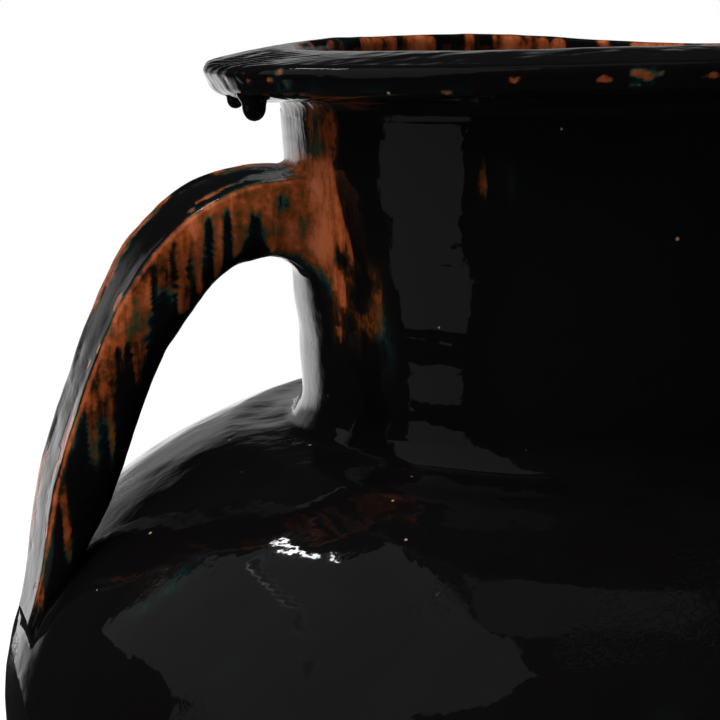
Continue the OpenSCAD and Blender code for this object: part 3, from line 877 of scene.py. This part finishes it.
class Bench:
    """Short words for placing and joining nodes in one tree."""

    def __init__(self, tree):
        self.tree = tree

    def node(self, kind, **settings):
        made = self.tree.nodes.new("ShaderNode" + kind)
        for name, value in settings.items():
            setattr(made, name, value)
        return made

    def join(self, a, b):
        self.tree.links.new(a, b)

    def feed(self, socket, value):
        if hasattr(value, "is_output"):
            self.join(value, socket)
        else:
            socket.default_value = value

    def math(self, way, a, b=None, c=None, clamp=False):
        made = self.node("Math", operation=way, use_clamp=clamp)
        for socket, value in zip(made.inputs, (a, b, c)):
            if value is not None:
                self.feed(socket, value)
        return made.outputs[0]

    def noise(self, vector, scale, detail=2.0, rough=0.5, stretch=None, warp=0.0):
        if stretch:
            vector = self.stretched(vector, stretch)
        made = self.node("TexNoise")
        self.join(vector, made.inputs["Vector"])
        self.feed(made.inputs["Scale"], scale)
        made.inputs["Detail"].default_value = detail
        made.inputs["Roughness"].default_value = rough
        made.inputs["Distortion"].default_value = warp
        return made.outputs["Fac"]

    def stretched(self, vector, scale):
        made = self.node("Mapping")
        self.join(vector, made.inputs["Vector"])
        made.inputs["Scale"].default_value = scale
        return made.outputs[0]

    def ramp(self, value, stops, smooth=False):
        made = self.node("ValToRGB")
        self.join(value, made.inputs[0])
        made.color_ramp.interpolation = "EASE" if smooth else "LINEAR"
        items = made.color_ramp.elements
        while len(items) < len(stops):
            items.new(0.5)
        for item, (at, colour) in zip(items, stops):
            item.position = at
            item.color = (*colour, 1) if len(colour) == 3 else (colour[0],) * 3 + (1,)
        return made.outputs["Color"]

    def step(self, value, low, high):
        made = self.node("MapRange", interpolation_type="SMOOTHSTEP")
        self.feed(made.inputs["Value"], value)
        made.inputs["From Min"].default_value = low
        made.inputs["From Max"].default_value = high
        return made.outputs["Result"]

    def mix(self, share, a, b):
        made = self.node("Mix", data_type="RGBA")
        self.feed(made.inputs["Factor"], share)
        for name, value in (("A", a), ("B", b)):
            socket = [s for s in made.inputs if s.name == name and s.type == "RGBA"][0]
            self.feed(socket, value if hasattr(value, "is_output") else (*value, 1))
        return [s for s in made.outputs if s.type == "RGBA"][0]


# %% [markdown]
# ### How the glaze breaks
# An iron glaze is black in the thick, goes through bottle green and amber as it thins,
# and is rust with a pale pink cast where hardly any is left. Runs and small islands of
# thicker glaze float in the thin places.

# %% Group: glaze that breaks as it thins
break_group = new_group(
    "glaze_break",
    [("Vector", "NodeSocketVector", None), ("Thin", "NodeSocketFloat", 0.0),
     ("Pool", "NodeSocketFloat", 0.5), ("Runs", "NodeSocketFloat", 1.0)],
    [("Color", "NodeSocketColor"), ("Shown", "NodeSocketFloat"), ("Height", "NodeSocketFloat")],
)
b = Bench(break_group)
entry, leave = break_group.nodes[0].outputs, break_group.nodes[1].inputs
islands = b.noise(entry["Vector"], 190, 3.0, 0.6)
specks = b.noise(entry["Vector"], 620, 2.0, 0.6)
runs = b.noise(entry["Vector"], 300, 3.0, 0.55, stretch=(1, 1, 0.16), warp=0.4)
wander = b.math("MULTIPLY", b.math("SUBTRACT", islands, 0.5), 0.7)
wander = b.math("MULTIPLY_ADD", b.math("SUBTRACT", specks, 0.5), 0.3, wander)
run_part = b.math("MULTIPLY", b.math("SUBTRACT", runs, 0.52), entry["Runs"])
wander = b.math("MULTIPLY_ADD", run_part, 0.9, wander)
awake = b.step(entry["Thin"], 0.02, 0.3)
level = b.math("MULTIPLY_ADD", wander, awake, entry["Thin"], clamp=True)
rust = b.ramp(level, [
    (0.0, (0.0026, 0.0022, 0.0022)), (0.2, (0.0042, 0.0032, 0.0028)), (0.33, (0.016, 0.008, 0.003)),
    (0.44, (0.060, 0.015, 0.004)), (0.56, (0.15, 0.033, 0.008)), (0.76, (0.28, 0.060, 0.016)),
    (0.95, (0.42, 0.115, 0.040)),
])
teal = b.ramp(level, [
    (0.0, (0.0026, 0.0026, 0.0028)), (0.16, (0.0036, 0.0095, 0.0105)), (0.28, (0.008, 0.030, 0.028)),
    (0.38, (0.034, 0.042, 0.018)), (0.47, (0.09, 0.036, 0.009)), (0.6, (0.19, 0.042, 0.011)),
    (0.9, (0.38, 0.100, 0.034)),
])
colour = b.mix(b.step(entry["Pool"], 0.45, 0.62), rust, teal)
b.join(colour, leave["Color"])
b.join(level, leave["Shown"])
b.join(b.math("MULTIPLY", level, -1.0), leave["Height"])
print("group", break_group.name)

# %% [markdown]
# ### Pin holes
# Gas leaves a thick glaze as bubbles. Some froze as pin holes with a pale edge. Cells
# of random points give their places, and only a few cells keep theirs.

# %% Group: pin holes
pin_group = new_group(
    "pin_holes",
    [("Vector", "NodeSocketVector", None), ("Scale", "NodeSocketFloat", 90.0),
     ("Size", "NodeSocketFloat", 0.06), ("Share", "NodeSocketFloat", 0.2)],
    [("Mask", "NodeSocketFloat"), ("Height", "NodeSocketFloat")],
)
b = Bench(pin_group)
entry, leave = pin_group.nodes[0].outputs, pin_group.nodes[1].inputs
cells = b.node("TexVoronoi", feature="F1")
b.join(entry["Vector"], cells.inputs["Vector"])
b.join(entry["Scale"], cells.inputs["Scale"])
lottery = b.node("SeparateColor")
b.join(cells.outputs["Color"], lottery.inputs[0])
kept = b.math("LESS_THAN", lottery.outputs[0], entry["Share"])
radius = b.math("MULTIPLY", entry["Size"], b.math("ADD", lottery.outputs[1], 0.35))
near = b.math("SUBTRACT", 1.0, b.math("DIVIDE", cells.outputs["Distance"], radius), clamp=True)
near = b.math("MULTIPLY", near, kept)
b.join(b.step(near, 0.1, 0.5), leave["Mask"])
b.join(b.math("MULTIPLY", b.step(near, 0.0, 0.8), -1.0), leave["Height"])
print("group", pin_group.name)

# %% [markdown]
# ### Ripple
# The surface of the glaze is glassy but not flat: soft waves some millimetres long,
# an orange-peel texture, and here and there a wrinkled patch where it crawled.

# %% Group: ripple of once liquid glaze
ripple_group = new_group(
    "glaze_ripple",
    [("Vector", "NodeSocketVector", None), ("Wave", "NodeSocketFloat", 1.0),
     ("Peel", "NodeSocketFloat", 1.0), ("Crawl", "NodeSocketFloat", 1.0)],
    [("Height", "NodeSocketFloat"), ("Crawled", "NodeSocketFloat")],
)
b = Bench(ripple_group)
entry, leave = ripple_group.nodes[0].outputs, ripple_group.nodes[1].inputs
wave = b.math("MULTIPLY", b.noise(entry["Vector"], 85, 2.0, 0.5), entry["Wave"])
peel = b.math("MULTIPLY", b.noise(entry["Vector"], 420, 1.0, 0.5), entry["Peel"])
where = b.step(b.noise(entry["Vector"], 16, 2.0, 0.5), 0.56, 0.68)
worms = b.noise(entry["Vector"], 360, 1.0, 0.4, warp=1.2)
worms = b.step(b.math("ABSOLUTE", b.math("SUBTRACT", worms, 0.5)), 0.0, 0.09)
crawl = b.math("MULTIPLY", b.math("MULTIPLY", where, worms), entry["Crawl"])
height = b.math("MULTIPLY_ADD", peel, 0.10, b.math("MULTIPLY", wave, 0.75))
height = b.math("MULTIPLY_ADD", crawl, 0.10, height)
b.join(height, leave["Height"])
b.join(where, leave["Crawled"])
print("group", ripple_group.name)

# %% [markdown]
# ## The finishes
# One glaze covers the jar, so one recipe makes its materials, with different amounts
# for the walls, the straps and the beads. Below the glaze line and inside at the floor
# the clay is bare: a red earthenware with grog and a dull, dry surface.

# %% Build the materials
def use_group(bench, group, vector, **values):
    """Places a node group in a material with its own values."""
    made = bench.tree.nodes.new("ShaderNodeGroup")
    made.node_tree = group
    bench.join(vector, made.inputs["Vector"])
    for name, value in values.items():
        bench.feed(made.inputs[name], value)
    return made.outputs


def painted(bench, title):
    """A mask painted on the mesh."""
    return bench.node("Attribute", attribute_name=title).outputs["Fac"]


def glaze_material(title, runs=1.0, wave=1.0, peel=1.0, crawl=1.0, pins=0.2):
    """Glossy iron glaze over red clay."""
    material = bpy.data.materials.new(title)
    material.use_nodes = True
    tree = material.node_tree
    b = Bench(tree)
    shader = tree.nodes["Principled BSDF"]
    place = b.node("TexCoord").outputs["Object"]
    thin, pool = painted(b, "thin"), painted(b, "pool")
    broken = use_group(b, break_group, place, Thin=thin, Pool=pool, Runs=runs)
    pin = use_group(b, pin_group, place, Scale=95.0, Size=0.06, Share=pins)
    ripple = use_group(b, ripple_group, place, Wave=wave, Peel=peel, Crawl=crawl)
    bare = painted(b, "bare")
    clay_noise = b.noise(place, 60, 4.0, 0.6)
    clay = b.ramp(clay_noise, [
        (0.3, (0.26, 0.085, 0.040)), (0.55, (0.38, 0.145, 0.072)), (0.75, (0.47, 0.21, 0.12)),
    ])
    grog = b.noise(place, 1500, 1.0, 0.5)
    colour = b.mix(b.math("MULTIPLY", pin["Mask"], 0.85), broken["Color"], (0.42, 0.27, 0.16))
    colour = b.mix(bare, colour, clay)
    b.join(colour, shader.inputs["Base Color"])
    smear = b.noise(place, 34, 3.0, 0.55)
    gloss = b.math("MULTIPLY_ADD", b.step(smear, 0.42, 0.75), 0.05, 0.035)
    gloss = b.math("MULTIPLY_ADD", b.step(broken["Shown"], 0.35, 0.9), 0.13, gloss)
    gloss = b.math("MULTIPLY_ADD", ripple["Crawled"], 0.04, gloss)
    gloss = b.math("MULTIPLY_ADD", bare, 0.7, gloss)
    gloss = b.math("MULTIPLY_ADD", painted(b, "dull"), 0.6, gloss)
    b.join(gloss, shader.inputs["Roughness"])
    shader.inputs["IOR"].default_value = 1.55
    height = b.math("MULTIPLY_ADD", pin["Height"], 0.3, ripple["Height"])
    height = b.math("MULTIPLY_ADD", broken["Height"], 0.22, height)
    height = b.math("MULTIPLY_ADD", b.math("MULTIPLY", grog, bare), 0.4, height)
    bump = b.node("Bump")
    bump.inputs["Strength"].default_value = 1.0
    bump.inputs["Distance"].default_value = 0.0007
    b.join(height, bump.inputs["Height"])
    b.join(bump.outputs[0], shader.inputs["Normal"])
    return material


wall_glaze = glaze_material("black_iron_glaze", runs=1.0, wave=0.42, peel=0.3, crawl=0.45, pins=0.5)
strap_glaze = glaze_material("breaking_iron_glaze", runs=1.1, wave=0.35, peel=0.5, crawl=0.2, pins=0.3)
bead_glaze = glaze_material("glaze_bead", runs=0.0, wave=0.1, peel=0.1, crawl=0.0, pins=0.0)
bare_material = glaze_material("bare_red_clay", pins=0.05)
for piece in (lower_body, upper_body, neck, rim_lip):
    piece.data.materials.append(wall_glaze)
for piece in (*straps.values(), *wads):
    piece.data.materials.append(strap_glaze)
for piece in (foot_slab, foot_coil, belly_coil):
    piece.data.materials.append(bare_material)
drips.data.materials.append(bead_glaze)
print("materials", len(bpy.data.materials))

# %% [markdown]
# ## The studio
# A pale round floor, a bright backdrop behind the jar, a softbox at its left in a wide
# upper and a narrow lower part, a small one overhead, and a thin bright strip for the
# edge of the shoulder. A black mirror-like pot is drawn by its reflections, so the rest
# of the studio stays dark, and the eye sees plain white beyond the pot. The floor is a
# painted reflection too: the glaze mirrors it near black, though the eye sees it pale.

# %% Lay the floor
VIEW_TURN = 23.0  # the eye stands this far to the left of the -Y axis
floor_rings, floor_steps, floor_radius = 8, 96, 0.95
floor_r = np.linspace(0.04, floor_radius, floor_rings)[:, None]
floor_a = np.linspace(0, 2 * pi, floor_steps, endpoint=False)[None, :]
floor_points = np.stack([
    floor_r * np.cos(floor_a), floor_r * np.sin(floor_a), 0 * floor_r * floor_a,
], -1)
floor_mesh = bpy.data.meshes.new("pale_floor")
floor_faces = ring_faces(floor_rings, floor_steps, False)[:, ::-1].tolist()
floor_faces.append(list(range(floor_steps)))
floor_mesh.from_pydata(floor_points.reshape(-1, 3).tolist(), [], floor_faces)
floor = bpy.data.objects.new("pale_floor", floor_mesh)
bpy.context.scene.collection.objects.link(floor)
floor_paint = bpy.data.materials.new("pale_floor")
floor_paint.use_nodes = True
floor_shader = floor_paint.node_tree.nodes["Principled BSDF"]
floor_shader.inputs["Roughness"].default_value = 0.9
floor_shader.inputs["Specular IOR Level"].default_value = 0.05
b = Bench(floor_paint.node_tree)
dust = b.noise(b.node("TexCoord").outputs["Object"], 6, 3.0)
pale = b.ramp(dust, [(0.3, (0.88, 0.88, 0.88)), (0.7, (0.91, 0.91, 0.91))])
# painted reflection: the floor is drawn near black in what the glaze mirrors, though it is pale to the
# eye
mirrored = b.node("LightPath").outputs["Is Glossy Ray"]  # a dark studio, as the glaze mirrors it
b.join(b.mix(mirrored, pale, (0.01, 0.01, 0.01)), floor_shader.inputs["Base Color"])
floor_mesh.materials.append(floor_paint)
print("floor radius", floor_radius)


# %% Hang the lights
def compass(turn):
    """Unit direction on the ground: 0 towards the eye, 90 to the eye's left, 180 behind the jar."""
    angle = radians(270 - VIEW_TURN - turn)
    return Vector((cos(angle), sin(angle), 0))


def softbox(title, turn, out, height, width, tall, radiance, aim=(0, 0, 0.3), mirrored=True):
    """An area light that faces the jar, with its brightness given as seen from the jar."""
    lamp = bpy.data.lights.new(title, "AREA")
    lamp.shape = "RECTANGLE"
    lamp.size, lamp.size_y = width, tall
    lamp.energy = radiance * pi * width * tall
    holder = bpy.data.objects.new(title, lamp)
    bpy.context.scene.collection.objects.link(holder)
    place = compass(turn) * out + Vector((0, 0, height))
    look = (Vector(aim) - place).normalized()
    holder.location = place
    holder.rotation_euler = look.to_track_quat("-Z", "Y").to_euler()
    holder.visible_glossy = mirrored
    holder.visible_camera = False
    return holder


softbox("left_softbox", 72, 0.556, 0.971, 1.05, 1.04, 0.135, aim=(0, 0, 0.735))
softbox("low_softbox", 56.66, 0.8845, 0.272, 0.48, 0.48, 0.125, aim=(-0.02, -0.233, -0.09))
softbox("top_softbox", 180, 0.05, 1.45, 0.62, 0.62, 0.07)
softbox("rim_strip", 122, 0.89, 1.25, 0.022, 0.24, 16.0, aim=(-0.135, -0.085, 0.254))
sun = bpy.data.lights.new("fill", "SUN")
sun.energy, sun.angle = 4.3, radians(70)
fill = bpy.data.objects.new("fill", sun)
fill.rotation_euler = (-(compass(50) * 0.5 + Vector((0, 0, 1)))).to_track_quat("-Z", "Y").to_euler()
fill.visible_glossy = False
bpy.context.scene.collection.objects.link(fill)
print("lights", len(bpy.data.lights))

# %% Paint the studio around
world = bpy.data.worlds.new("studio")
bpy.context.scene.world = world
world.use_nodes = True
tree = world.node_tree
b = Bench(tree)
way = b.node("TexCoord").outputs["Generated"]
behind = compass(180)
spread = b.node("VectorMath", operation="DOT_PRODUCT")
b.join(way, spread.inputs[0])
spread.inputs[1].default_value = behind
height_of = b.node("SeparateXYZ")
b.join(way, height_of.inputs[0])
sector = b.step(spread.outputs["Value"], 0.60, 0.80)
low_part = b.math("SUBTRACT", 1.0, b.step(height_of.outputs["Z"], 0.12, 0.29))
sweep = b.math("SUBTRACT", 1.0, b.step(height_of.outputs["Z"], -0.10, 0.04))
brightness = b.math("MULTIPLY_ADD", sweep, 0.75, 0.29)
glow = b.math("MULTIPLY", b.math("MULTIPLY", sector, low_part), brightness)
level = b.math("ADD", glow, 0.01)
path = b.node("LightPath")
backdrop = tree.nodes["Background"]
both = b.math("MAXIMUM", b.math("MULTIPLY", path.outputs["Is Camera Ray"], 1.0), level)
backdrop.inputs["Color"].default_value = (1, 1, 1, 1)
b.join(both, backdrop.inputs["Strength"])
bpy.context.scene.view_settings.view_transform = "Standard"
print("studio painted")

# %% [markdown]
# ## The eye
# A long lens looks slightly down at the lip, one handle and the shoulder, with the
# left handle nearest the edge of the view.

# %% Set up the camera
EYE_OUT, EYE_HEIGHT = 0.6762, 0.415
PITCH, YAW, ROLL = radians(10.437), radians(7.081), radians(-0.9)
ahead = (compass(180) * cos(YAW) + compass(90) * sin(YAW)) * cos(PITCH) + Vector((0, 0, -sin(PITCH)))
right = (compass(180) * cos(YAW) + compass(90) * sin(YAW)).cross(Vector((0, 0, 1)))
up = right.cross(ahead)
right_rolled = right * cos(ROLL) + up * sin(ROLL)
up_rolled = up * cos(ROLL) - right * sin(ROLL)
lens = bpy.data.cameras.new("eye")
lens.lens, lens.sensor_width = 95.0, 36.0
eye = bpy.data.objects.new("eye", lens)
bpy.context.scene.collection.objects.link(eye)
axes = Matrix((right_rolled, up_rolled, -ahead)).transposed()
eye.matrix_world = Matrix.Translation(compass(0) * EYE_OUT + Vector((0, 0, EYE_HEIGHT))) @ axes.to_4x4()
bpy.context.scene.camera = eye
print("eye at", [round(v, 3) for v in eye.location])

# %% Finish
bpy.context.view_layer.update()
